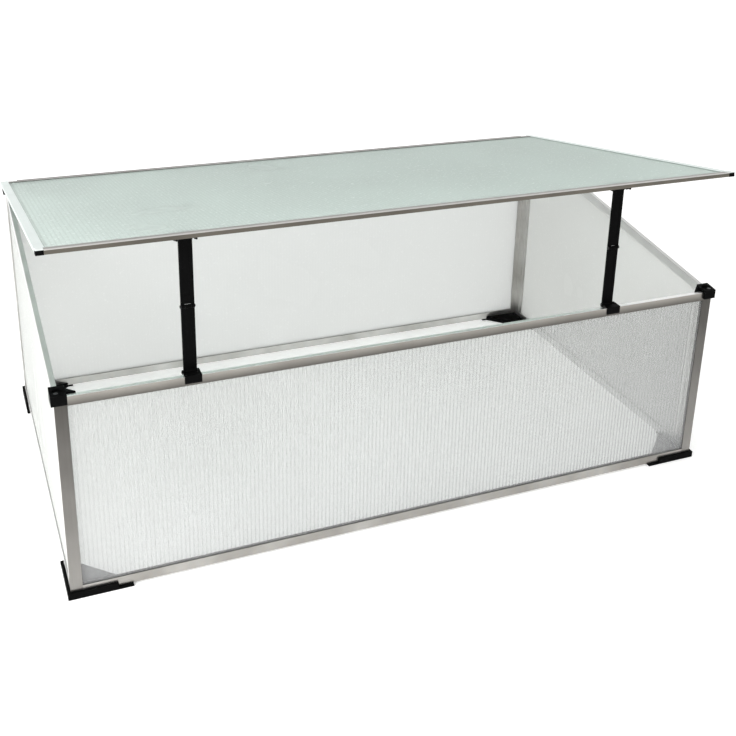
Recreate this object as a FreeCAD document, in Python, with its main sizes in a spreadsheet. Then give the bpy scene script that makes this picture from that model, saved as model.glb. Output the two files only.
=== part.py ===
import FreeCAD, Part
import math
import os

# Cold frame: aluminium profiles, twin-wall sheets, plastic corners and a lid
# propped open by two folding stays. Millimetres, +X right, +Y back, +Z up,
# origin on the ground under the middle of the frame.

doc = FreeCAD.newDocument("ColdFrame")
sheet = doc.addObject("Spreadsheet::Sheet", "Sizes")

SIZES = {
    "frameWidth": 1000,
    "frameDepth": 600,
    "frontHeight": 300,
    "rearHeight": 388,
    # aluminium profiles
    "profileThick": 7,
    "postLeg": 16,
    "bottomRailHeight": 14,
    "topRailHeight": 13.5,
    "slotWidth": 4.3,
    "slotDepth": 8.5,
    "portSide": 4,
    "railLift": 3,
    "flangeReach": 36,
    "flangeThick": 1.3,
    "ridgeWidth": 1.2,
    "ridgeHeight": 0.8,
    "ridgePlace": 24,
    "neckSunk": 0.5,
    # twin-wall sheet
    "sheetThick": 4,
    "sheetSkin": 0.5,
    "flutePitch": 5.8,
    "fluteGap": 5.4,
    "sheetGrip": 7.5,
    # plastic corners
    "shellWall": 4,
    "shellGap": 0.1,
    "capFront": 16,
    "capSide": 18,
    "capWebLeg": 28,
    "capWebTop": 2,
    "capWebThick": 8,
    "pocketRadius": 6,
    "pocketNear": 5,
    "pocketFar": 8.5,
    "pocketBack": 7,
    "capDrop": 10,
    "capTop": 4.5,
    "rearCapTop": 0.5,
    "footLeg": 62,
    "footWall": 10,
    "footLip": 20,
    "footBraceLeg": 73.5,
    "footBraceTop": 8,
    "floorStrip": 10,
    "screwRadius": 1.3,
    "screwHeadRadius": 3,
    "screwHeadHeight": 1.6,
    "screwLength": 9,
    "screwSunk": 0.2,
    # hinge on the rear top rail
    "hingeBack": 296.5,
    "hingeHeight": 392.3,
    "beadRadius": 2.8,
    "neckThick": 2,
    "hookBore": 3.1,
    "hookRadius": 4.5,
    "hookHalf": 480,
    # lid, in its own flat frame: the hinge line is its origin, the front is -Y
    "lidHalf": 506,
    "lidReach": 611.5,
    "lidUnder": 2.2,
    "lidOver": 4,
    "lidProfileDepth": 14,
    "lidGrip": 11,
    "lidSheetUnder": 1.1,
    "openAngle": 9.6,
    "endCapLength": 10,
    "endCapStand": 0.4,
    "lidRidgeRadius": 1.2,
    "lidRidgeInset": 0.6,
    "lidRidgeSunk": 0.8,
    "rearProfileStart": 3.6,
    "rearProfileEnd": 15,
    "rearSlotStart": 6,
    "lidEdgeBack": 4,
    "lidSheetSpare": 0.5,
    # stays
    "leftStay": -326,
    "rightStay": 316,
    "stayWidth": 17.6,
    "stayThick": 3.5,
    "stayGap": 0.3,
    "knuckleRadius": 2.6,
    "pinRadius": 1.5,
    "pinRunning": 0.08,
    "tongueWidth": 8,
    "topPivotReach": 587,
    "topPivotDrop": 5.9,
    "footPivotBack": -283.8,
    "footPivotHeight": 298.8,
    "clipThick": 1.3,
    "earThick": 1.9,
    "earGap": 0.5,
    "earRadius": 3,
    "pinHead": 1.5,
    "pinHeadRadius": 2.1,
    "pinStand": 0.8,
    "earSpare": 0.3,
    "earBlock": 1.6,
    "plateBack": 7,
    "plateStop": 12,
    "plateRim": 2,
    "grooveDepth": 0.5,
    "cheekGap": 0.2,
    "holeSpan": 60,
    "kneeRelief": 2.9,
    "lidEdgeWidth": 12,
    "lidEdgeWall": 1.7,
    "slotSpare": 0.15,
    "slopeSpare": 40,
    "rearPostDrop": 3,
    "mouthFront": 33,
    "mouthBack": 35,
}
# the stays' line at rest, from the two pivots
opened = math.radians(SIZES["openAngle"])
reach, drop = SIZES["topPivotReach"], SIZES["topPivotDrop"]
SIZES["topPivotBack"] = (
    SIZES["hingeBack"] - reach * math.cos(opened) - drop * math.sin(opened)
)
SIZES["topPivotHeight"] = (
    SIZES["hingeHeight"] + reach * math.sin(opened) - drop * math.cos(opened)
)
back = SIZES["footPivotBack"] - SIZES["topPivotBack"]
fall = SIZES["topPivotHeight"] - SIZES["footPivotHeight"]
SIZES["armLength"] = math.hypot(back, fall) / 2
SIZES["stayLean"] = math.degrees(math.atan2(back, fall))
for row, (alias, value) in enumerate(SIZES.items(), start=1):
    sheet.set("A%d" % row, alias)
    sheet.set("B%d" % row, str(value))
    sheet.setAlias("B%d" % row, alias)
doc.recompute()

AXES = {"x": (0, 1, 0, 90), "y": (1, 0, 0, -90), "z": (0, 0, 1, 0)}
finished = {}


def size(alias):
    return float(sheet.get(alias))


def cells(text):
    """Put the sheet's name before each alias of an expression."""
    words = sorted(SIZES, key=len, reverse=True)
    out = ""
    place = 0
    while place < len(text):
        word = next((w for w in words if text.startswith(w, place)), None)
        if word and (place == 0 or not text[place - 1].isalnum()):
            out += "Sizes." + word
            place += len(word)
        else:
            out += text[place]
            place += 1
    return out


def bind(thing, **rules):
    for prop, rule in rules.items():
        thing.setExpression(prop.replace("_", "."), cells(rule))
    return thing


def block(name, corner, sides):
    """A box from its low corner and its three sides, all as expressions."""
    box = doc.addObject("Part::Box", name)
    bind(box, Length=sides[0], Width=sides[1], Height=sides[2])
    bind(box, Placement_Base_x=corner[0], Placement_Base_y=corner[1], Placement_Base_z=corner[2])
    return box


def rod(name, start, radius, length, axis):
    """A cylinder from its start point along an axis."""
    bar = doc.addObject("Part::Cylinder", name)
    ax, ay, az, turn = AXES[axis]
    bar.Placement.Rotation = FreeCAD.Rotation(FreeCAD.Vector(ax, ay, az), turn)
    bind(bar, Radius=radius, Height=length)
    bind(bar, Placement_Base_x=start[0], Placement_Base_y=start[1], Placement_Base_z=start[2])
    return bar


def joined(name, pieces):
    whole = doc.addObject("Part::MultiFuse", name)
    whole.Shapes = pieces
    whole.Refine = True
    return whole


def without(name, base, tools):
    rest = doc.addObject("Part::Cut", name)
    rest.Base = base
    rest.Tool = tools[0] if len(tools) == 1 else joined(name + "_tools", tools)
    return rest


def finish(node, thing):
    """Give a finished sub-part its label; the label names its file."""
    thing.Label = node
    finished[node] = thing
    return thing


def side_low(sign, half, near, far):
    """Low end of a span measured inwards from the -half or +half face."""
    if sign < 0:
        return "-(%s)+(%s)" % (half, near)
    return "(%s)-(%s)" % (half, far)


def corner_block(name, sx, sy, across, along, height):
    """A box at a frame corner; its spans run inwards from the outer faces."""
    corner = (
        side_low(sx, "frameWidth/2", across[0], across[1]),
        side_low(sy, "frameDepth/2", along[0], along[1]),
        height[0],
    )
    sides = (
        "(%s)-(%s)" % (across[1], across[0]),
        "(%s)-(%s)" % (along[1], along[0]),
        "(%s)-(%s)" % (height[1], height[0]),
    )
    return block(name, corner, sides)


def corner_axis(sx, sy, inset):
    """The point a given distance inwards from both outer faces of a corner."""
    return ("%d*(frameWidth/2-(%s))" % (sx, inset), "%d*(frameDepth/2-(%s))" % (sy, inset))


CORNERS = {
    "front_left": (-1, -1),
    "front_right": (1, -1),
    "rear_left": (-1, 1),
    "rear_right": (1, 1),
}
SLOT = ("(profileThick-slotWidth)/2", "(profileThick+slotWidth)/2")
PORT = ("(profileThick-portSide)/2", "(profileThick+portSide)/2")
SLOPE = "atan((rearHeight-frontHeight)/frameDepth)"


def corner_post(name, sx, sy):
    """L-shaped profile: a slot along each wall, a square screw port, an inner side flange."""
    rail_top = "frontHeight" if sy < 0 else "rearHeight"
    top = "frontHeight" if sy < 0 else "rearHeight-rearPostDrop"
    height = ("railLift", top)
    leg_x = corner_block(name + "_leg_x", sx, sy, ("0", "postLeg"), ("0", "profileThick"), height)
    leg_y = corner_block(name + "_leg_y", sx, sy, ("0", "profileThick"), ("0", "postLeg"), height)
    # the flange backs the side sheet between the bottom and top side rails
    between = (
        "railLift+bottomRailHeight+ridgeHeight",
        "%s-topRailHeight-profileThick" % rail_top,
    )
    backed = ("profileThick-flangeThick", "profileThick")
    raised = ("profileThick-ridgeHeight", "profileThick+ridgeHeight")
    flange = corner_block(
        name + "_flange", sx, sy, backed, ("postLeg-ridgeWidth", "flangeReach"), between
    )
    middle = corner_block(
        name + "_ridge_a", sx, sy, raised, ("ridgePlace", "ridgePlace+ridgeWidth"), between
    )
    edge = corner_block(
        name + "_ridge_b", sx, sy, raised, ("flangeReach-ridgeWidth", "flangeReach"), between
    )
    reach = ("postLeg-slotDepth", "postLeg")
    slot_x = corner_block(name + "_slot_x", sx, sy, reach, SLOT, height)
    slot_y = corner_block(name + "_slot_y", sx, sy, SLOT, reach, height)
    port = corner_block(name + "_port", sx, sy, PORT, PORT, height)
    solid = joined(name + "_solid", [leg_x, leg_y, flange, middle, edge])
    return finish(name, without(name + "_post", solid, [slot_x, slot_y, port]))


def straight_rail(name, wall, sign, low, high, slot_low):
    """A level rail between two posts; wall is x for front and rear, y for the sides."""
    span = "frameWidth" if wall == "x" else "frameDepth"
    half = "frameDepth/2" if wall == "x" else "frameWidth/2"
    length = "%s-2*postLeg" % span
    start = "-%s/2+postLeg" % span
    pieces = []
    for part, near, far, z0, z1 in (
        ("body", "0", "profileThick", low, high),
        ("slot", SLOT[0], SLOT[1], slot_low, "(%s)+slotDepth" % slot_low),
    ):
        thick = "(%s)-(%s)" % (far, near)
        place = side_low(sign, half, near, far)
        if wall == "x":
            corner, sides = (start, place, z0), (length, thick, "(%s)-(%s)" % (z1, z0))
        else:
            corner, sides = (place, start, z0), (thick, length, "(%s)-(%s)" % (z1, z0))
        pieces.append(block("%s_%s" % (name, part), corner, sides))
    return without(name + "_cut", pieces[0], [pieces[1]])


def slope_block(name, sign, near, far, low, high):
    """A box along a side wall's sloping top; low and high are measured from it."""
    box = doc.addObject("Part::Box", name)
    box.Placement.Rotation = FreeCAD.Rotation(FreeCAD.Vector(1, 0, 0), 5)
    bind(
        box,
        Length="(%s)-(%s)" % (far, near),
        Width="frameDepth/cos(%s)+2*slopeSpare" % SLOPE,
        Height="(%s)-(%s)" % (high, low),
        Placement_Rotation_Angle=SLOPE,
        Placement_Base_x=side_low(sign, "frameWidth/2", near, far),
        Placement_Base_y="-frameDepth/2-slopeSpare*cos(%s)-(%s)*sin(%s)" % (SLOPE, low, SLOPE),
        Placement_Base_z="frontHeight-slopeSpare*sin(%s)+(%s)*cos(%s)" % (SLOPE, low, SLOPE),
    )
    return box


def sloping_rail(name, sign):
    body = slope_block(name + "_body", sign, "0", "profileThick", "-topRailHeight", "0")
    slot = slope_block(
        name + "_slot", sign, SLOT[0], SLOT[1], "-topRailHeight", "slotDepth-topRailHeight"
    )
    span = block(
        name + "_span",
        (side_low(sign, "frameWidth/2", "0", "profileThick"), "-frameDepth/2+postLeg", "0"),
        ("profileThick", "frameDepth-2*postLeg", "2*rearHeight"),
    )
    between = doc.addObject("Part::Common", name + "_between")
    between.Base = body
    between.Tool = span
    return finish(name, without(name + "_cut", between, [slot]))


def hinge_rail(name):
    """Rear top rail with the round bead that the lid's hook turns on."""
    rail = straight_rail(
        name + "_rail", "x", 1, "rearHeight-topRailHeight", "rearHeight",
        "rearHeight-topRailHeight",
    )
    start = "-frameWidth/2+postLeg"
    length = "frameWidth-2*postLeg"
    neck = block(
        name + "_neck",
        (start, "hingeBack-neckThick/2", "rearHeight-neckSunk"),
        (length, "neckThick", "hingeHeight-rearHeight"),
    )
    bead = rod(name + "_bead", (start, "hingeBack", "hingeHeight"), "beadRadius", length, "x")
    return finish(name, joined(name + "_whole", [rail, neck, bead]))


def fluted_sheet(width, length):
    """Twin-wall sheet: width along X, length along Z, its flutes open at both ends."""
    thick, skin = size("sheetThick"), size("sheetSkin")
    pitch, gap = size("flutePitch"), size("fluteGap")

    def outline(x0, y0, x1, y1):
        corners = [(x0, y0), (x1, y0), (x1, y1), (x0, y1), (x0, y0)]
        return Part.makePolygon([FreeCAD.Vector(x, y, 0) for x, y in corners])

    count = int((width - (pitch - gap)) // pitch)
    first = (width - count * pitch + pitch - gap) / 2
    flutes = [
        outline(first + k * pitch, skin, first + k * pitch + gap, thick - skin)
        for k in range(count)
    ]
    section = Part.makeFace([outline(0, 0, width, thick)] + flutes, "Part::FaceMakerBullseye")
    return section.extrude(FreeCAD.Vector(0, 0, length))


def wall_sheet(name, wall, sign):
    """Upright sheet in the rails' and posts' slots; side sheets end on the slope."""
    inset = (size("profileThick") - size("sheetThick")) / 2
    grip = size("sheetGrip")
    edge = size("postLeg") - grip
    low = size("railLift") + size("bottomRailHeight") - grip
    half_x, half_y = size("frameWidth") / 2, size("frameDepth") / 2
    sheet_piece = doc.addObject("Part::Feature", name)
    if wall == "x":
        rail_top = size("frontHeight") if sign < 0 else size("rearHeight")
        high = rail_top - size("topRailHeight") + grip
        solid = fluted_sheet(2 * (half_x - edge), high - low)
        near = -half_y + inset if sign < 0 else half_y - inset - size("sheetThick")
        place = FreeCAD.Placement(FreeCAD.Vector(-half_x + edge, near, low), FreeCAD.Rotation())
    else:
        high = size("rearHeight")
        solid = fluted_sheet(2 * (half_y - edge), high - low)
        lean = math.atan2(size("rearHeight") - size("frontHeight"), size("frameDepth"))
        drop = size("topRailHeight") - grip
        spare = 2 * size("frameDepth")
        lid_side = Part.makeBox(spare, 3 * size("sheetThick"), spare)
        lid_side.translate(FreeCAD.Vector(0, -size("sheetThick"), 0))
        lid_side.rotate(FreeCAD.Vector(0, 0, 0), FreeCAD.Vector(0, -1, 0), math.degrees(lean))
        lid_side.translate(
            FreeCAD.Vector(
                -edge + drop * math.sin(lean) - size("slopeSpare") * math.cos(lean),
                0,
                size("frontHeight") - low - drop * math.cos(lean)
                - size("slopeSpare") * math.sin(lean),
            )
        )
        solid = solid.cut(lid_side)
        near = -half_x + inset + size("sheetThick") if sign < 0 else half_x - inset
        turn = FreeCAD.Rotation(FreeCAD.Vector(0, 0, 1), 90)
        place = FreeCAD.Placement(FreeCAD.Vector(near, -half_y + edge, low), turn)
    sheet_piece.Shape = solid
    sheet_piece.Placement = place
    return finish(name, sheet_piece)


def brace(name, sx, sy, near, far, height):
    """Flat triangular plate across the inside of a corner."""
    web = doc.addObject("Part::Wedge", name)
    run = "(%s)-(%s)" % (far, near)
    thick = "(%s)-(%s)" % (height[1], height[0])
    wide = ("0", run)
    point = ("0", "shellGap") if sx < 0 else (run + "-shellGap", run)
    front, rear = (wide, point) if sy < 0 else (point, wide)
    bind(web, Xmin=front[0], Xmax=front[1], X2min=rear[0], X2max=rear[1])
    bind(web, Ymin="0", Ymax=run, Zmin="0", Z2min="0", Zmax=thick, Z2max=thick)
    bind(
        web,
        Placement_Base_x=side_low(sx, "frameWidth/2", near, far),
        Placement_Base_y=side_low(sy, "frameDepth/2", near, far),
        Placement_Base_z=height[0],
    )
    return web


def pocket(name, sx, sy, low):
    """Rounded hollow in a front cap's top, open upwards."""
    back = "%d*(frameDepth/2-pocketBack)" % sy
    ends = []
    for tag, inset in (("a", "pocketNear"), ("b", "pocketFar")):
        across = "%d*(frameWidth/2-%s)" % (sx, inset)
        ends.append(
            rod("%s_%s" % (name, tag), (across, back, low), "pocketRadius", "4*capDrop", "z")
        )
    middle = corner_block(
        name + "_middle", sx, sy, ("pocketNear", "pocketFar"),
        ("pocketBack-pocketRadius", "pocketBack+pocketRadius"), (low, "%s+4*capDrop" % low),
    )
    return ends + [middle]


def top_connector(name, sx, sy):
    """Plastic shell over a top corner, screwed down into the post's port."""
    front = sy < 0
    top = "frontHeight" if front else "rearHeight"
    over = "capTop" if front else "rearCapTop"
    outer = "-shellWall"
    inner = "-shellGap"
    height = ("%s-capDrop" % top, "%s+3*capTop" % top)
    wall_x = corner_block(name + "_wall_x", sx, sy, (outer, "capFront"), (outer, inner), height)
    wall_y = corner_block(name + "_wall_y", sx, sy, (outer, inner), (outer, "capSide"), height)
    if front:
        spans = ((outer, "capFront"), (outer, "capSide"), ("frontHeight+shellGap", height[1]))
    else:
        reach = (outer, "postLeg-shellGap")
        spans = (reach, reach, ("rearHeight-rearPostDrop+shellGap", height[1]))
    plate = corner_block(name + "_plate", sx, sy, *spans)
    solid = joined(name + "_solid", [wall_x, wall_y, plate])
    px, py = corner_axis(sx, sy, "profileThick/2")
    low = "%s-capDrop" % top
    head_seat = "%s+%s-screwHeadHeight" % (top, over)
    tools = [
        rod(name + "_hole", (px, py, low), "screwRadius+shellGap", "4*capDrop", "z"),
        rod(name + "_recess", (px, py, head_seat), "screwHeadRadius+2*shellGap", "4*capDrop", "z"),
        slope_block(name + "_over", sx, "-2*shellWall", "2*capFront", over, "9*capTop"),
    ]
    if not front:
        return finish(name, without(name + "_cap", solid, tools))
    tools += pocket(name + "_pocket", sx, sy, head_seat)
    # room for the posts and the sloping rail that the shell sits on
    inside = slope_block(name + "_under", sx, inner, "2*capFront", "-3*capDrop", "shellGap")
    keep = corner_block(
        name + "_reach", sx, sy, (inner, "2*capFront"), (inner, "2*capSide"),
        ("0", "2*frontHeight"),
    )
    room = doc.addObject("Part::Common", name + "_room")
    room.Base = inside
    room.Tool = keep
    tools.append(room)
    cap = without(name + "_cap", solid, tools)
    web = brace(
        name + "_web", sx, sy, "profileThick+3*shellGap", "capWebLeg",
        ("frontHeight+capWebTop-capWebThick", "frontHeight+capWebTop"),
    )
    return finish(name, joined(name + "_whole", [cap, web]))


def foot(name, sx, sy):
    """Plastic foot: outer walls, thin lips under the rails and a flat corner brace."""
    outer = "-shellWall"
    floor = ("0", "railLift")
    walls = ("0", "footWall")
    lip = "footLeg+footLip"
    strip = (outer, "floorStrip")
    pieces = [
        corner_block(name + "_floor_x", sx, sy, (outer, "footLeg"), strip, floor),
        corner_block(name + "_floor_y", sx, sy, strip, (outer, "footLeg"), floor),
        corner_block(name + "_wall_x", sx, sy, (outer, "footLeg"), (outer, "-shellGap"), walls),
        corner_block(name + "_wall_y", sx, sy, (outer, "-shellGap"), (outer, "footLeg"), walls),
        corner_block(name + "_lip_x", sx, sy, ("0", lip), (outer, "profileThick"), floor),
        corner_block(name + "_lip_y", sx, sy, (outer, "profileThick"), ("0", lip), floor),
        brace(
            name + "_brace", sx, sy, "profileThick+3*shellGap", "footBraceLeg",
            ("0", "footBraceTop"),
        ),
    ]
    return finish(name, joined(name + "_whole", pieces))


def grouped(name, pieces):
    """Separate solids of one kind, kept in one node."""
    group = doc.addObject("Part::Compound", name + "_group")
    group.Links = pieces
    return finish(name, group)


def screw(name, point, head_low):
    """Pan-head screw, shank downwards."""
    px, py = point
    head = rod(name + "_head", (px, py, head_low), "screwHeadRadius", "screwHeadHeight", "z")
    low = "%s-screwLength" % head_low
    shank = rod(name + "_shank", (px, py, low), "screwRadius", "screwLength+screwSunk", "z")
    return joined(name, [head, shank])


def lid_block(name, side, reach, height):
    """A box in the lid's flat frame; reach is measured from the hinge towards the front."""
    return block(
        name,
        (side[0], "-(%s)" % reach[1], height[0]),
        ("(%s)-(%s)" % (side[1], side[0]), "(%s)-(%s)" % (reach[1], reach[0]),
         "(%s)-(%s)" % (height[1], height[0])),
    )


def on_lid(thing, node):
    """Place a lid piece at the hinge, opened by the rest angle."""
    thing.Placement.Rotation = FreeCAD.Rotation(FreeCAD.Vector(1, 0, 0), -size("openAngle"))
    bind(thing, Placement_Base_y="hingeBack", Placement_Base_z="hingeHeight")
    return finish(node, thing)


SHEET_SLOT = ("-lidSheetUnder-slotSpare", "sheetThick-lidSheetUnder+slotSpare")


def lid_front_profile():
    name = "lid_front_profile"
    inner = "lidHalf-endCapLength"
    side = ("-(%s)" % inner, inner)
    body = lid_block(
        name + "_body", side, ("lidReach-lidProfileDepth", "lidReach"), ("-lidUnder", "lidOver")
    )
    slot = lid_block(
        name + "_slot", side,
        ("lidReach-lidProfileDepth", "lidReach-lidProfileDepth+lidGrip"), SHEET_SLOT,
    )
    bar = without(name + "_bar", body, [slot])
    crest = ("-(%s)" % inner, "-lidReach+lidRidgeInset", "lidOver-lidRidgeSunk")
    ridge = rod(name + "_ridge", crest, "lidRidgeRadius", "2*(%s)" % inner, "x")
    return on_lid(joined(name + "_whole", [bar, ridge]), name)


def lid_rear_profile():
    """Rear profile with the C-shaped hook round the hinge bead."""
    name = "lid_rear_profile"
    side = ("-lidHalf+lidEdgeWidth+shellGap", "lidHalf-lidEdgeWidth-shellGap")
    body = lid_block(
        name + "_body", side, ("rearProfileStart", "rearProfileEnd"), ("-lidUnder", "lidOver")
    )
    slot = lid_block(name + "_slot", side, ("rearSlotStart", "rearProfileEnd"), SHEET_SLOT)
    bar = without(name + "_bar", body, [slot])
    hook = rod(name + "_hook", ("-hookHalf", "0", "0"), "hookRadius", "2*hookHalf", "x")
    ring = joined(name + "_ring", [bar, hook])
    bore = rod(name + "_bore", ("-lidHalf", "0", "0"), "hookBore", "2*lidHalf", "x")
    # the bead's neck passes through this gap over the lid's whole travel
    gap = hinge_sector(name + "_gap", -size("mouthFront"), size("mouthBack"))
    return on_lid(without(name + "_whole", ring, [bore, gap]), name)


def hinge_sector(name, front, back):
    """A sector of a cylinder about the hinge line, opening downwards."""
    sector = doc.addObject("Part::Cylinder", name)
    bind(sector, Radius="2*hookRadius", Height="2*lidHalf")
    sector.Angle = back - front
    # the sector starts on local +X, which is turned to point down and forwards
    stand = FreeCAD.Rotation(FreeCAD.Vector(0, 1, 0), 90)
    turn = FreeCAD.Rotation(FreeCAD.Vector(1, 0, 0), front)
    sector.Placement = FreeCAD.Placement(FreeCAD.Vector(0, 0, 0), turn.multiply(stand))
    bind(sector, Placement_Base_x="-lidHalf")
    return sector


def lid_edge(name, sign):
    """U-shaped edging along a side of the lid."""
    near = "lidHalf-lidEdgeWidth"
    front = "lidReach-lidProfileDepth-shellGap"
    spans = {
        "body": ("lidHalf", ("-lidEdgeBack", front), ("-lidUnder", "lidOver")),
        "slot": ("lidHalf-lidEdgeWall", ("rearSlotStart", front), SHEET_SLOT),
    }
    solids = []
    for part, (far, reach, height) in spans.items():
        side = (near, far) if sign > 0 else ("-(%s)" % far, "-(%s)" % near)
        solids.append(lid_block("%s_%s" % (name, part), side, reach, height))
    return on_lid(without(name + "_bar", solids[0], [solids[1]]), name)


def lid_end_cap(name, sign):
    """Plastic corner cap with a slot for the sheet's corner."""
    inner = "lidHalf-endCapLength+shellGap"
    wall = "lidHalf-lidEdgeWall"
    if sign > 0:
        side, slot_side = (inner, "lidHalf"), (inner, wall)
    else:
        side, slot_side = ("-lidHalf", "-(%s)" % inner), ("-(%s)" % wall, "-(%s)" % inner)
    start = "lidReach-lidProfileDepth"
    body = lid_block(
        name + "_body", side, (start, "lidReach+endCapStand"),
        ("-lidUnder-endCapStand", "lidOver+endCapStand"),
    )
    slot = lid_block(name + "_slot", slot_side, (start, start + "+lidGrip"), SHEET_SLOT)
    return on_lid(without(name + "_cap", body, [slot]), name)


def lid_sheet():
    name = "lid_panel"
    half = size("lidHalf") - size("lidEdgeWall") - size("shellGap") * 3
    spare = size("lidSheetSpare")
    rear = size("rearSlotStart") + spare
    front = size("lidReach") - size("lidProfileDepth") + size("lidGrip") - spare
    thing = doc.addObject("Part::Feature", name)
    thing.Shape = fluted_sheet(2 * half, front - rear)
    # laid flat with its flutes running forwards, then opened with the lid
    laid = FreeCAD.Placement(
        FreeCAD.Vector(-half, -rear, -size("lidSheetUnder")),
        FreeCAD.Rotation(FreeCAD.Vector(1, 0, 0), 90),
    )
    lid = FreeCAD.Placement(
        FreeCAD.Vector(0, size("hingeBack"), size("hingeHeight")),
        FreeCAD.Rotation(FreeCAD.Vector(1, 0, 0), -size("openAngle")),
    )
    thing.Placement = lid.multiply(laid)
    return finish(name, thing)


def cross_hole(name, centre, line, radius):
    """A long cutter across a stay, for a pin's hole."""
    start = "%s-holeSpan/2" % centre
    return rod(name, (start,) + line, radius, "holeSpan", "x")


def lid_stay_bracket(side, centre):
    """Plate fixed under the lid's front profile, with two ears behind it."""
    name = side + "_stay_lid_bracket"
    ear_in = "stayWidth/2+earGap+earThick+earSpare"
    wide = "(%s)+earThick" % ear_in
    low = "-lidUnder-shellGap-clipThick"
    high = "-lidUnder-shellGap"
    both = ("%s-(%s)" % (centre, wide), "%s+(%s)" % (centre, wide))
    span = ("topPivotReach+earRadius", "lidReach-plateBack")
    pieces = [lid_block(name + "_plate", both, span, (low, high))]
    for tag, sign in (("a", -1), ("b", 1)):
        inner = "%s+%d*(%s)" % (centre, sign, ear_in)
        outer = "%s+%d*(%s)" % (centre, sign, wide)
        span = (inner, outer) if sign > 0 else (outer, inner)
        pieces.append(lid_block(
            "%s_ear_%s" % (name, tag), span,
            ("topPivotReach", "lidReach-lidProfileDepth"), ("-topPivotDrop-earBlock", high),
        ))
        pieces.append(rod(
            "%s_eye_%s" % (name, tag), (span[0], "-topPivotReach", "-topPivotDrop"),
            "earRadius", "earThick", "x",
        ))
    line = ("-topPivotReach", "-topPivotDrop")
    hole = cross_hole(name + "_hole", centre, line, "pinRadius")
    return on_lid(without(name + "_clip", joined(name + "_solid", pieces), [hole]), name)


def lid_stay_pin(side, centre):
    name = side + "_stay_top_pin"
    wide = "stayWidth/2+earGap+2*earThick+earSpare"
    start = "%s-(%s)-pinStand" % (centre, wide)
    line = ("-topPivotReach", "-topPivotDrop")
    length = "2*(%s)+2*pinStand" % wide
    shank = rod(name + "_shank", (start,) + line, "pinRadius", length, "x")
    head = rod(name + "_head", (start + "-pinStand",) + line, "pinHeadRadius", "pinHead", "x")
    return on_lid(joined(name + "_pin", [shank, head]), name)


def rail_stay_bracket(side, centre):
    """Clip over the front top rail with two ears behind it at the foot pivot."""
    name = side + "_stay_rail_bracket"
    ear_in = "stayWidth/2+earGap"
    wide = "(%s)+earThick" % ear_in
    face = "-frameDepth/2-shellGap"
    back = "-frameDepth/2+profileThick+shellGap"
    under = "frontHeight+shellGap"
    top = under + "+clipThick"
    low = "frontHeight-capDrop"
    left = "%s-(%s)" % (centre, wide)
    pieces = []
    spans = {
        "plate": (face + "-clipThick", back + "+clipThick", under, top),
        "front_lip": (face + "-clipThick", face, low, top),
        "rear_lip": (back, back + "+clipThick", low, top),
    }
    for tag, (y0, y1, z0, z1) in spans.items():
        sides = ("2*(%s)" % wide, "(%s)-(%s)" % (y1, y0), "(%s)-(%s)" % (z1, z0))
        pieces.append(block("%s_%s" % (name, tag), (left, y0, z0), sides))
    for tag, edge in (("a", left), ("b", "%s+(%s)" % (centre, ear_in))):
        low_corner = (edge, back, "footPivotHeight-earRadius")
        sides = ("earThick", "footPivotBack-(%s)" % back, "2*earRadius-2*shellGap")
        pieces.append(block("%s_ear_%s" % (name, tag), low_corner, sides))
        pieces.append(rod(
            "%s_eye_%s" % (name, tag), (edge, "footPivotBack", "footPivotHeight-shellGap"),
            "earRadius-shellGap", "earThick", "x",
        ))
    line = ("footPivotBack", "footPivotHeight")
    hole = cross_hole(name + "_hole", centre, line, "pinRadius")
    return finish(name, without(name + "_clip", joined(name + "_solid", pieces), [hole]))


def foot_pins(side, centre):
    """Two studs in the rail bracket's ears, heads outwards."""
    name = side + "_stay_foot_pins"
    inner = "stayWidth/2+earGap"
    line = ("footPivotBack", "footPivotHeight")
    length = "earThick+pinStand"
    left = "%s-(%s)-%s" % (centre, inner, length.replace("+", "-"))
    right = "%s+(%s)" % (centre, inner)
    studs = [
        rod(name + "_a", (left,) + line, "pinRadius", length, "x"),
        rod(name + "_b", (right,) + line, "pinRadius", length, "x"),
    ]
    return grouped(name, studs)


def arm_plate(name, centre, top, bottom):
    """Moulded bar behind the pivot line, hollowed at the back and grooved in front."""
    wide = "stayWidth/2"
    long = "(%s)-(%s)" % (top, bottom)
    inset = "(%s)+plateStop" % bottom
    hollow_long = long + "-2*plateStop"
    body = block(
        name + "_plate", ("%s-%s" % (centre, wide), "stayGap", bottom),
        ("stayWidth", "stayThick", long),
    )
    back = block(
        name + "_back", ("%s-%s+plateRim" % (centre, wide), "stayGap+stayThick/2", inset),
        ("stayWidth-2*plateRim", "stayThick", hollow_long),
    )
    groove = block(
        name + "_groove", ("%s-stayWidth/4" % centre, "stayGap-grooveDepth", inset),
        ("stayWidth/2", "2*grooveDepth", hollow_long),
    )
    return without(name + "_bar", body, [back, groove])


def at_stay(thing, node, distance):
    """Hang an arm on the stay's line, a distance below the top pivot."""
    lean = math.radians(size("stayLean"))
    thing.Placement = FreeCAD.Placement(
        FreeCAD.Vector(
            0,
            size("topPivotBack") + distance * math.sin(lean),
            size("topPivotHeight") - distance * math.cos(lean),
        ),
        FreeCAD.Rotation(FreeCAD.Vector(1, 0, 0), size("stayLean")),
    )
    return finish(node, thing)


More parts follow.
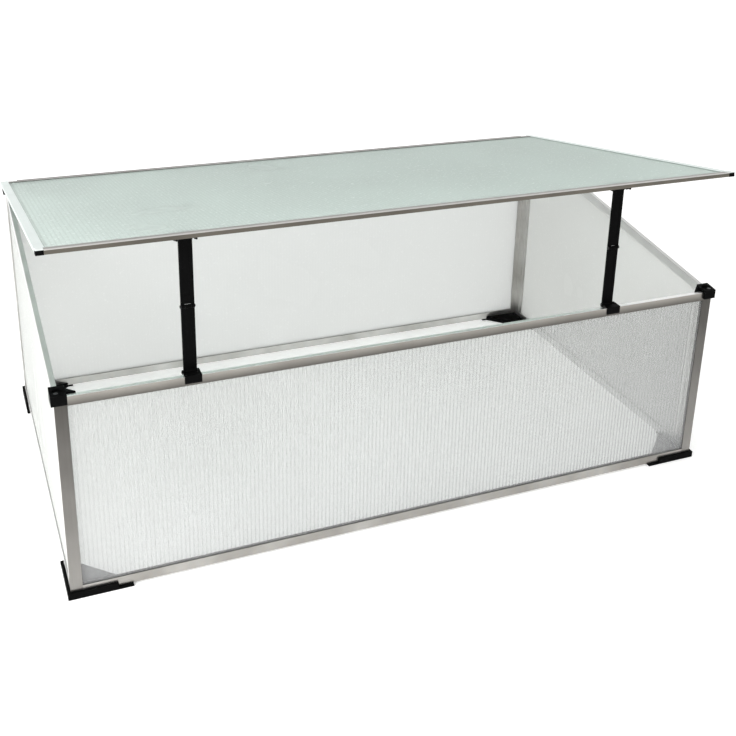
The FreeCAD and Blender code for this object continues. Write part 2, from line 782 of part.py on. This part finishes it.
def upper_arm(side, centre):
    """Upper arm with a full-width eye at the top and two cheeks at the knee."""
    name = side + "_stay_upper_arm"
    knee = "-armLength"
    stop = "-armLength+kneeRelief"
    left = "%s-stayWidth/2" % centre
    right = "%s+tongueWidth/2+cheekGap" % centre
    cheek = "stayWidth/2-tongueWidth/2-cheekGap"
    pieces = [
        arm_plate(name, centre, "0", stop),
        rod(name + "_eye", (left, "0", "0"), "knuckleRadius", "stayWidth", "x"),
    ]
    for tag, start in (("a", left), ("b", right)):
        pieces.append(block(
            "%s_cheek_%s" % (name, tag), (start, "stayGap", knee),
            (cheek, "stayThick", "1.5*kneeRelief"),
        ))
        pieces.append(rod(
            "%s_knuckle_%s" % (name, tag), (start, "0", knee), "knuckleRadius", cheek, "x",
        ))
    holes = [
        cross_hole(name + "_top_bore", centre, ("0", "0"), "pinRadius+pinRunning"),
        cross_hole(name + "_knee_bore", centre, ("0", knee), "pinRadius"),
    ]
    return at_stay(without(name + "_arm", joined(name + "_solid", pieces), holes), name, 0)


def lower_arm(side, centre):
    """Lower arm with a tongue at the knee and a full-width eye at the foot."""
    name = side + "_stay_lower_arm"
    foot_end = "-armLength"
    left = "%s-stayWidth/2" % centre
    tongue = "%s-tongueWidth/2" % centre
    pieces = [
        arm_plate(name, centre, "-kneeRelief", foot_end),
        block(
            name + "_tongue", (tongue, "stayGap", "-1.5*kneeRelief"),
            ("tongueWidth", "stayThick", "1.5*kneeRelief"),
        ),
        rod(name + "_knuckle", (tongue, "0", "0"), "knuckleRadius", "tongueWidth", "x"),
        rod(name + "_eye", (left, "0", foot_end), "knuckleRadius", "stayWidth", "x"),
    ]
    holes = [
        cross_hole(name + "_knee_bore", centre, ("0", "0"), "pinRadius+pinRunning"),
        cross_hole(name + "_foot_bore", centre, ("0", foot_end), "pinRadius+pinRunning"),
    ]
    solid = without(name + "_arm", joined(name + "_solid", pieces), holes)
    return at_stay(solid, name, size("armLength"))


def knee_pin(side, centre):
    name = side + "_stay_knee_pin"
    start = "%s-stayWidth/2-pinStand" % centre
    shank = rod(name + "_shank", (start, "0", "0"), "pinRadius", "stayWidth+2*pinStand", "x")
    head = rod(name + "_head", (start + "-pinStand", "0", "0"), "pinHeadRadius", "pinHead", "x")
    return at_stay(joined(name + "_pin", [shank, head]), name, size("armLength"))


def build():
    for corner, (sx, sy) in CORNERS.items():
        corner_post(corner + "_post", sx, sy)
        top_connector(corner + "_top_connector", sx, sy)
        foot(corner + "_foot", sx, sy)

    low = "railLift"
    high = "railLift+bottomRailHeight"
    slot = "railLift+bottomRailHeight-slotDepth"
    for name, wall, sign in (
        ("front_bottom_rail", "x", -1), ("rear_bottom_rail", "x", 1),
        ("left_bottom_rail", "y", -1), ("right_bottom_rail", "y", 1),
    ):
        finish(name, straight_rail(name, wall, sign, low, high, slot))
    finish("front_top_rail", straight_rail(
        "front_top_rail", "x", -1, "frontHeight-topRailHeight", "frontHeight",
        "frontHeight-topRailHeight"))
    hinge_rail("rear_top_rail")
    sloping_rail("left_top_rail", -1)
    sloping_rail("right_top_rail", 1)

    wall_sheet("front_panel", "x", -1)
    wall_sheet("rear_panel", "x", 1)
    wall_sheet("left_panel", "y", -1)
    wall_sheet("right_panel", "y", 1)

    screws = []
    for corner, (sx, sy) in CORNERS.items():
        seat = "frontHeight+capTop" if sy < 0 else "rearHeight+rearCapTop"
        point = corner_axis(sx, sy, "profileThick/2")
        screws.append(screw(corner + "_screw", point, seat + "-screwHeadHeight"))
    grouped("connector_screws", screws)

    lid_sheet()
    lid_front_profile()
    lid_rear_profile()
    lid_edge("lid_left_edge", -1)
    lid_edge("lid_right_edge", 1)
    lid_end_cap("lid_left_end_cap", -1)
    lid_end_cap("lid_right_end_cap", 1)

    for side, centre in (("left", "leftStay"), ("right", "rightStay")):
        lid_stay_bracket(side, centre)
        lid_stay_pin(side, centre)
        rail_stay_bracket(side, centre)
        foot_pins(side, centre)
        upper_arm(side, centre)
        knee_pin(side, centre)
        lower_arm(side, centre)


def check_and_write():
    doc.recompute()
    for thing in doc.Objects:
        if "Invalid" in thing.State or "Error" in thing.State:
            raise RuntimeError("%s failed: %s" % (thing.Name, thing.State))
    os.makedirs("parts", exist_ok=True)
    for node, thing in finished.items():
        shape = thing.Shape
        if shape.isNull() or not shape.isValid():
            raise RuntimeError("%s has no valid shape" % node)
        print("%-28s solids %d volume %.0f" % (node, len(shape.Solids), shape.Volume))
        shape.exportStep("parts/%s.step" % node)
    print("nodes:", len(finished))


build()
check_and_write()
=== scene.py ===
import math

import bmesh
import bpy
from mathutils import Matrix, Vector


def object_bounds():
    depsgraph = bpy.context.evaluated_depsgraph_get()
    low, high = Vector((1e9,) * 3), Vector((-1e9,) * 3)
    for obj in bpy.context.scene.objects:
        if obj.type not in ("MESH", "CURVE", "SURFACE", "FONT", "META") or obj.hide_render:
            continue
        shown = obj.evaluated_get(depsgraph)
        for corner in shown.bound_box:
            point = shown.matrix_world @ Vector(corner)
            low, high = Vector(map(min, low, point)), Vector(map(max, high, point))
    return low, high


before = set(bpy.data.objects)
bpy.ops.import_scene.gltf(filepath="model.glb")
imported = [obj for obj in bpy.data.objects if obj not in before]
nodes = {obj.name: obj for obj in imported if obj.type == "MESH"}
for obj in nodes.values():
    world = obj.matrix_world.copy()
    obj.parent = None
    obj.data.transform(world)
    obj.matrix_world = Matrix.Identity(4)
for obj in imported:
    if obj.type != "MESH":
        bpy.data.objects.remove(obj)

# Cold frame: aluminium profiles, milky twin-wall sheets and black moulded corners and stays.
# Metres, +X right, +Y back, +Z up.

cadLow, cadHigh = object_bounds()
print("frame loaded:", len(nodes), "nodes")


class Wire:  # a socket of a material, with arithmetic that adds Math nodes
    def __init__(self, tree, socket):
        self.tree = tree
        self.socket = socket

    def node(self, kind, settings=None, values=None, output=0):
        made = self.tree.nodes.new(kind)
        for name, value in (settings or {}).items():
            setattr(made, name, value)
        for key, value in (values or {}).items():
            if isinstance(value, Wire):
                self.tree.links.new(value.socket, made.inputs[key])
            else:
                made.inputs[key].default_value = value
        return Wire(self.tree, made.outputs[output])

    def math(self, operation, first, second):
        return self.node("ShaderNodeMath", {"operation": operation}, {0: first, 1: second})

    def __add__(self, other):
        return self.math("ADD", self, other)

    __radd__ = __add__

    def __sub__(self, other):
        return self.math("SUBTRACT", self, other)

    def __rsub__(self, other):
        return self.math("SUBTRACT", other, self)

    def __mul__(self, other):
        return self.math("MULTIPLY", self, other)

    __rmul__ = __mul__

    def between(self, low, high):  # 0 at low, 1 at high, kept in that range
        values = {0: self, 1: low, 2: high, 3: 0.0, 4: 1.0}
        return self.node("ShaderNodeMapRange", {"clamp": True}, values)

    def blend(self, first, second):  # a colour between two, by this value
        values = {0: self, 6: first, 7: second}
        return self.node("ShaderNodeMix", {"data_type": "RGBA"}, values, output=2)


def newMaterial(name):
    made = bpy.data.materials.new(name)
    made.use_nodes = True
    made.node_tree.nodes.clear()
    place = Wire(made.node_tree, None).node("ShaderNodeTexCoord", output=3)
    return made, place


def stretched(place, scale):
    return place.node("ShaderNodeMapping", None, {0: place, 3: scale})


def noise(place, scale, detail=2.0, roughness=0.5):
    values = {"Vector": place, "Scale": scale, "Detail": detail, "Roughness": roughness}
    return place.node("ShaderNodeTexNoise", None, values)


def axisOf(place, axis):
    return place.node("ShaderNodeSeparateXYZ", None, {0: place}, output="xyz".index(axis))


def bump(height, strength, depth):
    values = {"Strength": strength, "Distance": depth, "Height": height}
    return height.node("ShaderNodeBump", None, values)


def principled(tone, values):
    return tone.node("ShaderNodeBsdfPrincipled", None, {"Base Color": tone, **values})


def close(material, shader):
    ending = shader.tree.nodes.new("ShaderNodeOutputMaterial")
    shader.tree.links.new(shader.socket, ending.inputs[0])
    return material


def rgb(red, green, blue):
    return (red, green, blue, 1.0)


def scaled(tone, share):
    return rgb(*[part * share for part in tone[:3]])


# A tone changing with the height is painted ground light: lighter low down, darker higher up.
cloudShare = 0.15  # of the clouds, in a tone that changes with the height


def paintGroundLight(place, clouds, heights):
    return clouds * cloudShare + axisOf(place, "z").between(*heights) * (1 - cloudShare)


# Drawn aluminium: die lines lengthways, cloudy tone, smudges left by hands.
aluminium = {
    "roughness": 0.25,
    "dieLines": 900.0,
    "lineStretch": 2.5,
    "lineRelief": 0.35,
    "lineDepth": 0.00004,
    "lineShine": 0.10,
    "lineShare": 0.15,
    "cloudSize": 14.0,
    "cloudRange": (0.3, 0.7),
    "smudgeSize": 55.0,
    "smudgeRange": (0.52, 0.72),
    "smudgeShine": 0.09,
    "crestDepth": 0.0006,
}
# Tones of one aluminium, set by where light falls: a painted highlight and painted joint shade for
# top-edge lines, then painted lit, half-lit and darkened copies.
paintedHighlight, paintedJointShade = rgb(0.900, 0.900, 0.890), rgb(0.070, 0.068, 0.065)
paintedLitTone, paintedLitDull = rgb(0.700, 0.700, 0.690), rgb(0.560, 0.560, 0.550)
paintedShadedTone, paintedShadedDull = rgb(0.260, 0.246, 0.225), rgb(0.175, 0.163, 0.147)
paintedHalfLitTone, paintedLitInside = rgb(0.440, 0.430, 0.410), rgb(0.700, 0.695, 0.680)

# The axis a profile runs along, its two tones (painted lit and darkened copies of one aluminium),
# and where height or depth changes them: a top-edge line, painted highlight on the front rail and
# lid and painted joint shade on the bottom rails; a darker lower part of painted shade; painted
# ground reflection going upwards; a flange behind, painted lighter.
profiles = {
    # Front rail: a painted darkened copy, painted shade towards the sheet, a painted highlight on
    # top.
    "frontRail": {
        "name": "front_rail_aluminium", "along": "x",
        "tones": (rgb(0.350, 0.333, 0.303), paintedShadedTone),
        "under": (0.2885, 0.2985, rgb(0.125, 0.118, 0.108)),
        "crest": (0.3, paintedHighlight),
    },
    # Lid front profile: a face painted darker, a painted highlight along its top edge.
    "lidFront": {
        "name": "lid_front_aluminium", "along": "x",
        "tones": (rgb(0.165, 0.152, 0.128), rgb(0.120, 0.110, 0.094)),
        "crest": (0.4979, rgb(0.640, 0.630, 0.610)),
    },
    "trim": {
        "name": "lid_edge_trim", "along": "y",
        "tones": (rgb(0.740, 0.815, 0.785), rgb(0.690, 0.755, 0.730)),
    },
    # Bottom, back and side profiles and the hinge: painted lit, half-lit and darkened copies; the
    # bottom rails' top-edge line is painted joint shade.
    "bottomRail": {
        "name": "bottom_rail_aluminium", "along": "x", "tones": (paintedHalfLitTone, paintedShadedTone),
        "crest": (0.017, paintedJointShade),
    },
    "rearBottomRail": {
        "name": "rear_bottom_aluminium", "along": "x", "tones": (paintedLitInside, paintedHalfLitTone),
        "crest": (0.017, paintedJointShade),
    },
    "rearPost": {"name": "rear_post_aluminium", "along": "z", "tones": (paintedLitInside, paintedHalfLitTone)},
    "rearRail": {"name": "rear_rail_aluminium", "along": "x", "tones": (paintedLitTone, paintedLitDull)},
    "hinge": {
        "name": "hinge_aluminium", "along": "x", "tones": (rgb(0.300, 0.295, 0.280), paintedShadedDull),
    },
    "sideRail": {"name": "side_rail_aluminium", "along": "y", "tones": (paintedLitTone, paintedLitDull)},
    # Posts: painted ground reflection, lighter at the foot and near black at the top; the flange
    # behind the face is painted lighter.
    "post": {
        "name": "post_aluminium", "along": "z",
        "tones": (rgb(0.285, 0.275, 0.260), rgb(0.040, 0.037, 0.033)),
        "paintedGroundLight": (0.02, 0.30),
        "rear": (-0.2930, -0.2928, paintedLitInside),
    },
}


def drawnAluminium(look):
    made, place = newMaterial(look["name"])
    stretch = [aluminium["dieLines"]] * 3
    stretch["xyz".index(look["along"])] = aluminium["lineStretch"]
    lines = noise(stretched(place, stretch), 1.0, 3.0, 0.6)
    clouds = noise(place, aluminium["cloudSize"], 3.0).between(*aluminium["cloudRange"])
    smudges = noise(place, aluminium["smudgeSize"], 4.0, 0.65).between(*aluminium["smudgeRange"])
    # painted ground reflection on the posts: lighter at the foot, darker at the top
    if "paintedGroundLight" in look:
        clouds = paintGroundLight(place, clouds, look["paintedGroundLight"])
    share = aluminium["lineShare"]
    tone = (clouds * (1 - share) + lines * share).blend(*look["tones"])
    # painted shade: the face darkens towards the sheet below
    if "under" in look:  # darker towards the sheet below
        start, end, underTone = look["under"]
        tone = axisOf(place, "z").between(start, end).blend(underTone, tone)
    # painted light: the flange behind the face is lightened
    if "rear" in look:  # the flange behind the face
        start, end, paintedFlangeLight = look["rear"]
        tone = axisOf(place, "y").between(start, end).blend(tone, paintedFlangeLight)
    # a painted line along the top edge: highlight on the front rail and lid, joint shade on the
    # bottom rails
    if "crest" in look:
        top, crestTone = look["crest"]
        onPaintedLine = axisOf(place, "z").between(top - aluminium["crestDepth"], top)
        tone = onPaintedLine.blend(tone, crestTone)
    shine = lines * aluminium["lineShine"] + smudges * aluminium["smudgeShine"]
    values = {
        "Metallic": 1.0,
        "Roughness": shine + aluminium["roughness"],
        "Normal": bump(lines, aluminium["lineRelief"], aluminium["lineDepth"]),
    }
    return close(made, principled(tone, values))


# Milky twin-wall sheet: hazy skins over upright ribs; the front one is the clearest.
twinWall = {
    "ribPitch": 0.0058,
    "ribEdge": -0.2,
    "ribBlend": 0.75,
    "cloudSize": 5.0,
    "cloudRange": (0.3, 0.7),
    "cloudShine": 0.08,
    "speckSize": 260.0,
    "speckRange": (0.62, 0.8),
    "speckHaze": 0.06,
    "speckShine": 0.2,
    "roughness": 0.20,
    "rippleStretch": (60, 60, 6),
    "rippleShare": 0.5,
    "ribRelief": 0.2,
    "relief": 0.25,
    "reliefDepth": 0.0004,
}
# One twin-wall sheet in painted lit and darkened copies, glow colours too: the back sheet
# lightest, the sides a little darker, the front sheet darkening towards its top.
sheets = {
    "frontSheet": {
        "name": "twin_wall_front", "across": "x",
        "tones": (rgb(0.880, 0.885, 0.900), rgb(0.540, 0.540, 0.530)),
        "glow": rgb(0.80, 0.80, 0.80),
        "haze": 0.073, "scatter": 0.100, "ribHaze": 0.050, "ribShade": 0.84,
        "paintedGroundLight": (0.03, 0.29),
    },
    "wallSheet": {
        "name": "twin_wall_rear", "across": "x",
        "tones": (rgb(0.940, 0.945, 0.940), rgb(0.890, 0.895, 0.890)),
        "glow": rgb(0.960, 0.965, 0.960),
        "haze": 0.325, "scatter": 0.38, "ribHaze": 0.05, "ribShade": 0.88,
    },
    "sideSheet": {
        "name": "twin_wall_sides", "across": "y",
        "tones": (rgb(0.850, 0.855, 0.845), rgb(0.770, 0.775, 0.765)),
        "glow": rgb(0.915, 0.920, 0.910),
        "haze": 0.325, "scatter": 0.38, "ribHaze": 0.05, "ribShade": 0.88,
    },
    "lidSheet": {
        "name": "twin_wall_lid", "across": "x",
        "tones": (rgb(0.770, 0.870, 0.825), rgb(0.710, 0.785, 0.750)),
        "glow": rgb(0.900, 0.955, 0.930),
        "haze": 0.425, "scatter": 0.28, "ribHaze": 0.12, "ribShade": 0.50,
    },
}


def ribs(place, axis):  # 1 on a rib, 0 between two; a side sheet has a rib in its middle
    firstRib = 0.0 if axis == "y" else twinWall["ribPitch"] / 2
    turns = (axisOf(place, axis) - firstRib) * (2 * math.pi / twinWall["ribPitch"])
    wave = turns.math("COSINE", turns, 0.0).between(twinWall["ribEdge"], 1.0)
    return wave * wave


def twinWallSheet(look):
    made, place = newMaterial(look["name"])
    rib = ribs(place, look["across"])
    shade = noise(place, twinWall["cloudSize"]).between(*twinWall["cloudRange"])
    specks = noise(place, twinWall["speckSize"]).between(*twinWall["speckRange"])
    if "paintedGroundLight" in look:  # the lower half catches the light from the ground
        shade = paintGroundLight(place, shade, look["paintedGroundLight"])
    ribTone = scaled(look["tones"][1], look["ribShade"])
    body = (rib * twinWall["ribBlend"]).blend(shade.blend(*look["tones"]), ribTone)
    specked = specks * twinWall["speckHaze"] + rib * look["ribHaze"]
    shine = shade * twinWall["cloudShine"] + specks * twinWall["speckShine"]
    ripple = noise(stretched(place, twinWall["rippleStretch"]), 1.0) * twinWall["rippleShare"]
    relief = ripple + rib * twinWall["ribRelief"]
    values = {
        "Roughness": shine + twinWall["roughness"],
        "Alpha": specked + look["haze"],
        "Normal": bump(relief, twinWall["relief"], twinWall["reliefDepth"]),
    }
    skin = principled(body, values)
    glow = body.node("ShaderNodeBsdfTranslucent", None, {"Color": look["glow"]})
    mixed = skin.node("ShaderNodeMixShader", None, {0: look["scatter"], 1: skin, 2: glow})
    return close(made, mixed)


# Black moulded plastic with a fine grain and a few rubbed spots.
blackPlastic = {
    "tone": rgb(0.0018, 0.0018, 0.0018),
    "worn": rgb(0.008, 0.008, 0.0082),
    "shineLevel": 0.02,
    "grain": 1500.0,
    "grainShine": 0.12,
    "grainRelief": 0.4,
    "grainDepth": 0.00006,
    "flowStretch": (30, 30, 12),
    "flowWear": 0.3,
    "rubSize": 120.0,
    "rubRange": (0.55, 0.75),
    "rubWear": 0.5,
    "rubShine": 0.1,
}
mouldings = {
    "corner": {"name": "corner_plastic", "roughness": 0.38},
    # the end caps' light top colour is a painted highlight
    "endCap": {"name": "end_cap_plastic", "roughness": 0.38, "top": rgb(0.70, 0.74, 0.72)},
    "stay": {"name": "stay_plastic", "roughness": 0.32},
}
# The open lid's slope in degrees, its hinge, and how far over it the caps' tops take a painted
# highlight.
openLid = {"lean": 9.6, "hingeBack": 0.2965, "hingeHeight": 0.3923, "capTop": (0.0034, 0.0040)}


def overLid(place):  # height over a plane through the hinge with the open lid's slope
    lean = math.radians(openLid["lean"])
    along = (axisOf(place, "y") - openLid["hingeBack"]) * math.sin(lean)
    return along + (axisOf(place, "z") - openLid["hingeHeight"]) * math.cos(lean)


def mouldedPlastic(look):
    made, place = newMaterial(look["name"])
    grain = noise(place, blackPlastic["grain"], 2.0, 0.6)
    flow = noise(stretched(place, blackPlastic["flowStretch"]), 1.0, 3.0)
    rub = noise(place, blackPlastic["rubSize"], 4.0, 0.7).between(*blackPlastic["rubRange"])
    wear = flow * blackPlastic["flowWear"] + rub * blackPlastic["rubWear"]
    tone = wear.blend(blackPlastic["tone"], blackPlastic["worn"])
    # painted highlight: the caps' tops over the lid plane turn light
    if "top" in look:
        tone = overLid(place).between(*openLid["capTop"]).blend(tone, look["top"])
    shine = grain * blackPlastic["grainShine"] + rub * blackPlastic["rubShine"]
    values = {
        "Roughness": shine + look["roughness"],
        "Specular IOR Level": blackPlastic["shineLevel"],
        "Normal": bump(grain, blackPlastic["grainRelief"], blackPlastic["grainDepth"]),
    }
    return close(made, principled(tone, values))


# Blackened steel of the pins and screws, with a turned surface.
steel = {
    "tone": rgb(0.03, 0.03, 0.032),
    "metallic": 0.6,
    "roughness": 0.28,
    "ringSize": 4000.0,
    "ringShine": 0.1,
    "ringRelief": 0.2,
    "ringDepth": 0.00002,
    "spotSize": 700.0,
    "spotRange": (0.5, 0.75),
    "spotBlend": 0.35,
    "spotShade": 0.6,
    "spotShine": 0.15,
}


def blackenedSteel():
    made, place = newMaterial("black_steel")
    rings = noise(stretched(place, [steel["ringSize"]] * 3), 1.0)
    spots = noise(place, steel["spotSize"], 3.0).between(*steel["spotRange"])
    darker = scaled(steel["tone"], steel["spotShade"])
    tone = (spots * steel["spotBlend"]).blend(steel["tone"], darker)
    shine = rings * steel["ringShine"] + spots * steel["spotShine"]
    values = {
        "Metallic": steel["metallic"],
        "Roughness": shine + steel["roughness"],
        "Normal": bump(rings, steel["ringRelief"], steel["ringDepth"]),
    }
    return close(made, principled(tone, values))


finishes = {kind: drawnAluminium(look) for kind, look in profiles.items()}
finishes.update({kind: twinWallSheet(look) for kind, look in sheets.items()})
finishes.update({kind: mouldedPlastic(look) for kind, look in mouldings.items()})
finishes["pin"] = blackenedSteel()
print("materials made:", len(finishes))

# A piece's own finish, or the one for the end of its name.
byName = {
    "lid_panel": "lidSheet",
    "front_panel": "frontSheet",
    "left_panel": "sideSheet",
    "right_panel": "sideSheet",
    "connector_screws": "pin",
    "front_top_rail": "frontRail",
    "front_bottom_rail": "bottomRail",
    "rear_top_rail": "rearRail",
    "rear_bottom_rail": "rearBottomRail",
    "rear_left_post": "rearPost",
    "rear_right_post": "rearPost",
    "lid_front_profile": "lidFront",
    "lid_rear_profile": "hinge",
}
byEnding = {
    "_post": "post",
    "_panel": "wallSheet",
    "_pin": "pin",
    "_pins": "pin",
    "_connector": "corner",
    "_foot": "corner",
    "_end_cap": "endCap",
    "_arm": "stay",
    "_bracket": "stay",
    "_rail": "sideRail",
    "_edge": "trim",
}
# Widths of the rounded edges; sheets and pins keep sharp ones.
softEdge = {kind: 0.0005 for kind in list(profiles) + ["stay"]}
softEdge.update({"post": 0.0007, "endCap": 0.0007, "corner": 0.0009})
weldDistance = 0.00002
softAngle = math.radians(40)


def finishFor(piece):
    return byName.get(piece) or next(kind for end, kind in byEnding.items() if piece.endswith(end))


def softenEdges(piece, width):
    weld = piece.modifiers.new("weld", "WELD")
    weld.merge_threshold = weldDistance
    edge = piece.modifiers.new("soft_edge", "BEVEL")
    edge.width = width
    edge.segments = 2
    edge.limit_method = "ANGLE"
    edge.angle_limit = softAngle
    edge.harden_normals = False


for name, piece in nodes.items():
    kind = finishFor(name)
    piece.data.materials.clear()
    piece.data.materials.append(finishes[kind])
    if kind in softEdge:
        softenEdges(piece, softEdge[kind])
print("finishes given")

# White floor, soft sky and one light from the left.
studio = {
    "floorSize": 14.0,
    "floorTones": (rgb(0.93, 0.93, 0.925), rgb(0.95, 0.95, 0.945)),
    "floorGlow": 0.30,
    "floorGap": 0.0005,
    "floorCloud": 1.5,
    "floorCloudRange": (0.2, 0.8),
    "floorRoughness": 0.7,
    "horizon": 1.08,
    "zenith": 0.83,
    "skyRange": (0.05, 0.9),
    "keyPlace": (-1.7, -0.9, 0.9),
    "keySize": 1.2,
    "keyPower": 36.0,
}


def studioFloor():
    shape = bmesh.new()
    bmesh.ops.create_grid(shape, x_segments=2, y_segments=2, size=studio["floorSize"] / 2)
    mesh = bpy.data.meshes.new("floor")
    shape.to_mesh(mesh)
    shape.free()
    made, place = newMaterial("floor_paint")
    clouds = noise(place, studio["floorCloud"]).between(*studio["floorCloudRange"])
    tone = clouds.blend(*studio["floorTones"])
    values = {
        "Roughness": studio["floorRoughness"],
        "Emission Color": tone,
        "Emission Strength": studio["floorGlow"],
    }
    mesh.materials.append(close(made, principled(tone, values)))
    floor = bpy.data.objects.new("floor", mesh)
    bpy.context.scene.collection.objects.link(floor)
    floor.location.z = cadLow.z - studio["floorGap"]


def keyLight():
    lamp = bpy.data.lights.new("key_light", "AREA")
    lamp.shape = "SQUARE"
    lamp.size = studio["keySize"]
    lamp.energy = studio["keyPower"]
    box = bpy.data.objects.new("key_light", lamp)
    bpy.context.scene.collection.objects.link(box)
    box.location = studio["keyPlace"]
    aim = (cadLow + cadHigh) / 2 - Vector(studio["keyPlace"])
    box.rotation_mode = "QUATERNION"
    box.rotation_quaternion = aim.to_track_quat("-Z", "Y")


def softSky():  # a little dimmer overhead than at the horizon
    sky = bpy.data.worlds.new("studio")
    sky.use_nodes = True
    backdrop = sky.node_tree.nodes["Background"]
    backdrop.inputs["Color"].default_value = rgb(1, 1, 1)
    direction = Wire(sky.node_tree, None).node("ShaderNodeTexCoord", output=0)
    overhead = axisOf(direction, "z").between(*studio["skyRange"])
    strength = overhead * (studio["zenith"] - studio["horizon"]) + studio["horizon"]
    sky.node_tree.links.new(strength.socket, backdrop.inputs["Strength"])
    bpy.context.scene.world = sky
    bpy.context.scene.view_settings.view_transform = "Standard"


viewpoint = {
    "place": (-0.5967, -1.5542, 0.9753),
    "turned": -24.164,
    "raised": 20.58,
    "tilted": 1.997,
    "lens": 53.56,
    "sensor": 36.0,
    "slideX": -0.0503,
    "slideY": -0.1807,
    "nearest": 0.01,
    "farthest": 60.0,
}


def setCamera():
    turned, raised, tilted = [
        math.radians(viewpoint[angle]) for angle in ("turned", "raised", "tilted")
    ]
    level = math.cos(raised)
    back = Vector((math.sin(turned) * level, -math.cos(turned) * level, math.sin(raised)))
    right = (-back).cross(Vector((0, 0, 1))).normalized()
    up = right.cross(-back)
    right, up = (
        math.cos(tilted) * right + math.sin(tilted) * up,
        math.cos(tilted) * up - math.sin(tilted) * right,
    )
    lens = bpy.data.cameras.new("camera")
    lens.lens = viewpoint["lens"]
    lens.sensor_width = viewpoint["sensor"]
    lens.shift_x = viewpoint["slideX"]
    lens.shift_y = viewpoint["slideY"]
    lens.clip_start = viewpoint["nearest"]
    lens.clip_end = viewpoint["farthest"]
    camera = bpy.data.objects.new("camera", lens)
    bpy.context.scene.collection.objects.link(camera)
    turn = Matrix((right, up, back)).transposed().to_4x4()
    camera.matrix_world = Matrix.Translation(Vector(viewpoint["place"])) @ turn
    bpy.context.scene.camera = camera


studioFloor()
keyLight()
softSky()
setCamera()
print("studio ready")
